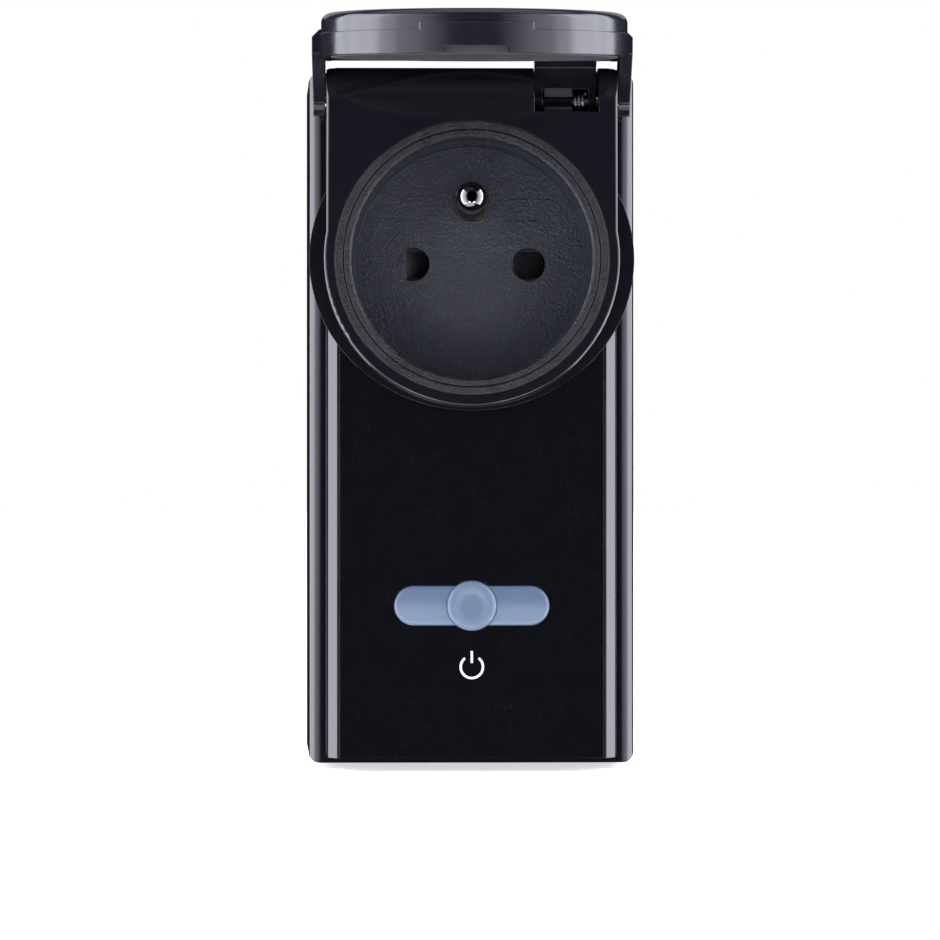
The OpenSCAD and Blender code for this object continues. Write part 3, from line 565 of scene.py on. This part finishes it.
def make_button():
    """Round button with a soft rim and a shallow dish for the fingertip."""
    top, deep, rim_deep, rim_wide = button_out, 2.4, 0.7, 0.9
    outline = [(0, top - deep), (BUTTON_R, top - deep), (BUTTON_R, top - rim_deep)]
    outline += rounded(BUTTON_R, top - rim_deep, BUTTON_R - rim_wide, top, 10)
    outline += [(2.7, top - 0.03), (2.3, top - 0.12), (2.0, top - 0.22), (1.7, top - 0.27),
                (1.0, top - 0.3), (0, top - 0.31)]
    button = turned("dished_button", (0, bar_up), outline, "button_plastic", 96, 60)
    kept(button, "button", "button_plastic", "button")


def make_panel_sign():
    """Generic standby sign printed under the light bar: a broken ring and a short stroke."""
    sign_up, ring_r, stroke, stroke_long, gap = -65.2, 1.6, 0.36, 1.9, math.radians(38)
    ink_out, ink_thick = panel_out + 0.012, 0.02
    sign = fresh("printed_sign", "plane", size=MM, location=(0, 0, 0))
    bpy.ops.mesh.select_all(action="SELECT")
    bpy.ops.mesh.merge(type="CENTER")
    drag(-ring_r * math.sin(gap), ink_out, sign_up + ring_r * math.cos(gap))
    pull(-stroke * math.sin(gap), 0, stroke * math.cos(gap))
    bpy.ops.mesh.select_all(action="SELECT")
    bpy.ops.mesh.spin(steps=56, angle=2 * math.pi - 2 * gap, center=spot(0, 0, sign_up),
                      axis=(0, 1, 0))
    bpy.ops.mesh.primitive_plane_add(size=MM, location=spot(0, ink_out, sign_up + ring_r),
                                     rotation=(math.pi / 2, 0, 0))
    bpy.ops.transform.resize(value=(stroke, 1, stroke_long))
    bpy.ops.mesh.select_all(action="SELECT")
    pull(0, ink_thick, 0)
    closed(sign, "print")
    kept(sign, "casing", "diffuser")


# ---------------------------------------------------------------- spring hinge


def make_knuckle():
    """Squared knuckle that carries the lid's pin between the fork's arms."""
    pin_low, pin_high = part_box("hinge_pin")
    axis_up = (pin_low.z + pin_high.z) / 2 / MM
    axis_out = -(pin_low.y + pin_high.y) / 2 / MM
    x0, x1 = 11.65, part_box("lid_spring")[0].x / MM - 0.12
    thick, below, above, corner_round, end_round = 3.1, 1.6, 2.5, 0.55, 0.12
    middle, long = (x0 + x1) / 2, x1 - x0
    knuckle = fresh("hinge_knuckle", "cube", size=MM, location=(0, 0, 0))
    bpy.ops.mesh.select_all(action="SELECT")
    bpy.ops.transform.resize(value=(long, thick, below + above))
    drag(middle, axis_out, axis_up + (above - below) / 2)
    pick(knuckle, "EDGE", lambda across, out, up: abs(across - middle) < 0.01)
    bpy.ops.mesh.bevel(offset=corner_round * MM, segments=6, affect="EDGES")
    pick(knuckle, "EDGE", lambda across, out, up: abs(across - middle) > 0.4 * long)
    bpy.ops.mesh.bevel(offset=end_round * MM, segments=3, affect="EDGES")
    closed(knuckle, "knuckle")
    kept(knuckle, "casing", "casing")


# Painted light: the bar and the button are painted paler below, where light from below falls.
# Painted shade: the dish is painted darker, and the socket's plastic darkens from its recess to
# the ring's face.
BAR_LOW, BAR_HIGH = (0.585, 0.605, 0.635), (0.35, 0.385, 0.46)
BUTTON_LOW, BUTTON_HIGH = (0.54, 0.57, 0.61), (0.46, 0.5, 0.555)
DISH_PAINTED_SHADE, RING_PAINTED_SHADE, UNCHANGED = (0.86, 0.86, 0.87), (0.14, 0.16, 0.15), (1, 1, 1)
painted_light_fade("diffuser", (bar_up - 1.0, bar_up + 1.6), BAR_LOW, BAR_HIGH)
painted_light_fade("button_plastic", (bar_up - 3.5, bar_up + 3.5), BUTTON_LOW, BUTTON_HIGH)
painted_light_fade("button_plastic", (1.6, 2.5), DISH_PAINTED_SHADE, UNCHANGED, "distance", spot(0, button_out, bar_up))
painted_light_fade("socket_plastic", (-52.6, -46), RING_PAINTED_SHADE, UNCHANGED, "Y")
make_earth_pin()
make_hole_guard("left_hole_guard", -HOLE_X, 1.75)
make_hole_guard("right_hole_guard", HOLE_X, 0.4)
make_floor_marks()
make_light_bar()
make_button()
make_panel_sign()
make_knuckle()

# ---------------------------------------------------------------- floor, light and camera


def pale_floor():
    """A wide flat pale floor under the object."""
    bpy.ops.object.select_all(action="DESELECT")
    bpy.ops.mesh.primitive_plane_add(size=6, location=(0, 0, lowest - 0.0002))
    floor = bpy.context.active_object
    floor.name = "pale_floor"
    material = bpy.data.materials.new("pale_paper")
    material.use_nodes = True
    tree = material.node_tree
    surface = tree.nodes["Principled BSDF"]
    fibre = add(tree, "TexNoise", scale=60.0, detail=6.0)
    wire(tree, (add(tree, "TexCoord").outputs["Object"], fibre.inputs["Vector"]),
         (mix_colour(tree, fibre.outputs[0], (0.86, 0.86, 0.86), (0.9, 0.9, 0.9)),
          surface.inputs["Base Color"]))
    surface.inputs["Roughness"].default_value = 0.9
    surface.inputs["Emission Color"].default_value = (1, 1, 1, 1)
    surface.inputs["Emission Strength"].default_value = 0.55
    floor.data.materials.append(material)
    floor.visible_glossy = False
    floor.visible_shadow = False


MIDDLE = spot(0, 30, -25)                # of the object, where the softboxes aim


def softbox(name, azimuth, elevation, distance, size, radiance, colour=(1, 1, 1)):
    """A rectangular light aimed at the object. Azimuth 0 stands in front, 90 to the right."""
    a, e = math.radians(azimuth), math.radians(elevation)
    away = Vector((math.sin(a) * math.cos(e), -math.cos(a) * math.cos(e), math.sin(e)))
    lamp = bpy.data.lights.new(name, "AREA")
    lamp.shape = "RECTANGLE"
    lamp.size, lamp.size_y = size
    lamp.energy = radiance * size[0] * size[1] * math.pi
    lamp.color = colour
    holder = bpy.data.objects.new(name, lamp)
    holder.location = MIDDLE + away * distance
    holder.rotation_euler = away.to_track_quat("Z", "Y").to_euler()
    holder.visible_camera = False
    bpy.context.scene.collection.objects.link(holder)
    return holder


# Softboxes down each side, brightest beside the object and fading towards the front:
# azimuth, width in degrees, and brightness
SIDE_BOXES = [(112, 20, 5.4), (94, 16, 7.5), (79, 14, 8.6), (65, 14, 4.8), (52, 12, 2.8),
              (41, 10, 2.4), (32, 8, 1.5), (24, 8, 0.7)]
COOL = (0.88, 0.89, 1.0)


def studio():
    """All the lights: only the fills are hidden from gloss, and only the glints from matt."""
    reach, tall = 0.9, 1.7
    for side, name in ((-1, "left"), (1, "right")):
        for azimuth, spread, radiance in SIDE_BOXES:
            width = 2 * reach * math.tan(math.radians(spread / 2))
            softbox(f"{name}_{azimuth}", side * azimuth, 0, reach, (width, tall), radiance,
                    COOL)
    fill = softbox("front_fill", 0, 35, 1.2, (1.2, 0.5), 0.4, COOL)
    fill.visible_glossy = False
    left_fill = softbox("left_fill", -40, 6, 1.0, (0.5, 0.5), 0.6, COOL)
    left_fill.visible_glossy = False
    for side, name in ((-1, "left"), (1, "right")):
        glint = softbox(f"{name}_glint", side * 13, -27, 0.8, (0.16, 0.16), 9)
        glint.visible_diffuse = False
    softbox("top_box", 0, 84, 0.8, (1.2, 0.7), 1.2, COOL)
    softbox("low_box", -25, -52, 0.8, (0.9, 0.5), 2.2, COOL)
    softbox("back_box", 180, 35, 1.0, (1.0, 0.6), 0.6, COOL)
    world = bpy.data.worlds.new("pale_room")
    world.use_nodes = True
    world.node_tree.nodes["Background"].inputs["Color"].default_value = (1, 1, 1, 1)
    world.node_tree.nodes["Background"].inputs["Strength"].default_value = 1.0
    world.cycles_visibility.glossy = False
    bpy.context.scene.world = world


def camera():
    """Level, a little left of the socket's centre line and at the middle of the casing."""
    lens = bpy.data.cameras.new("camera")
    lens.lens = 119.3
    lens.sensor_width = 36
    holder = bpy.data.objects.new("camera", lens)
    holder.location = spot(-8.1, 548, -33.7)
    holder.rotation_euler = (math.pi / 2, 0, math.radians(-0.898))
    bpy.context.scene.collection.objects.link(holder)
    bpy.context.scene.camera = holder


pale_floor()
studio()
camera()
bpy.context.scene.view_settings.view_transform = "Standard"
